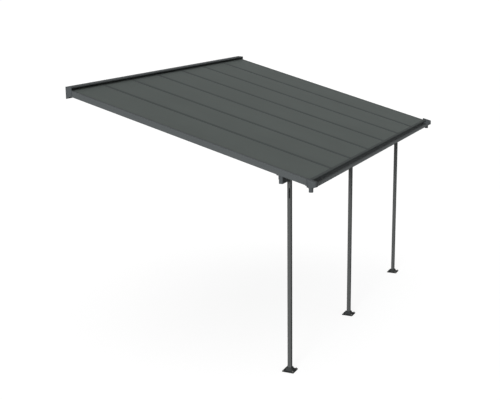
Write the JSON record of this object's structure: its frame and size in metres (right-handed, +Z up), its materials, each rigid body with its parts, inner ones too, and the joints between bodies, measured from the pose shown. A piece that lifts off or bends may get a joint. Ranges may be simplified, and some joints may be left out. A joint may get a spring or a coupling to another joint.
{
  "type": "lean-to patio cover",
  "caption": "Wall-mounted lean-to patio cover with sloping panels between rafters, a front gutter with spouts, a beam and slim posts on foot plates.",
  "frame": {"origin": "middle of the wall rail's back face, where it lies on the wall", "axes": "+X along the wall to the right as seen from the garden, +Y into the wall, +Z up"},
  "size_m": [4.356, 2.912, 2.943],
  "materials": {
    "profile": "matt grey powder coat",
    "dark_profile": "matt dark grey powder coat",
    "sheet": "matt grey twin-wall sheet",
    "moulding": "matt grey moulded plastic",
    "post_coat": "matt grey powder coat",
    "bracket": "matt dark grey powder coat"
  },
  "bodies": {
    "root": {"wall_rail": "dark_profile", "rail_cap_left": "moulding", "rail_cap_right": "moulding", "side_profile_left": "profile", "side_profile_right": "profile", "rafter_1": "profile", "rafter_2": "profile", "rafter_3": "profile", "rafter_4": "profile", "rafter_5": "profile", "rafter_6": "profile", "cap_strip_1": "dark_profile", "cap_strip_2": "dark_profile", "cap_strip_3": "dark_profile", "cap_strip_4": "dark_profile", "cap_strip_5": "dark_profile", "cap_strip_6": "dark_profile", "roof_panel_1": "sheet", "roof_panel_2": "sheet", "roof_panel_3": "sheet", "roof_panel_4": "sheet", "roof_panel_5": "sheet", "roof_panel_6": "sheet", "roof_panel_7": "sheet", "panel_trims": "dark_profile", "eaves_profile": "dark_profile", "gutter": "profile", "gutter_cap_left": "moulding", "gutter_cap_right": "moulding", "front_beam": "profile", "beam_cap_left": "moulding", "beam_cap_right": "moulding", "rafter_brackets": "bracket", "post_left": "post_coat", "post_middle": "post_coat", "post_right": "post_coat", "post_head_left": "bracket", "post_head_middle": "bracket", "post_head_right": "bracket", "foot_left": "moulding", "foot_middle": "moulding", "foot_right": "moulding"}
  },
  "joints": []
}
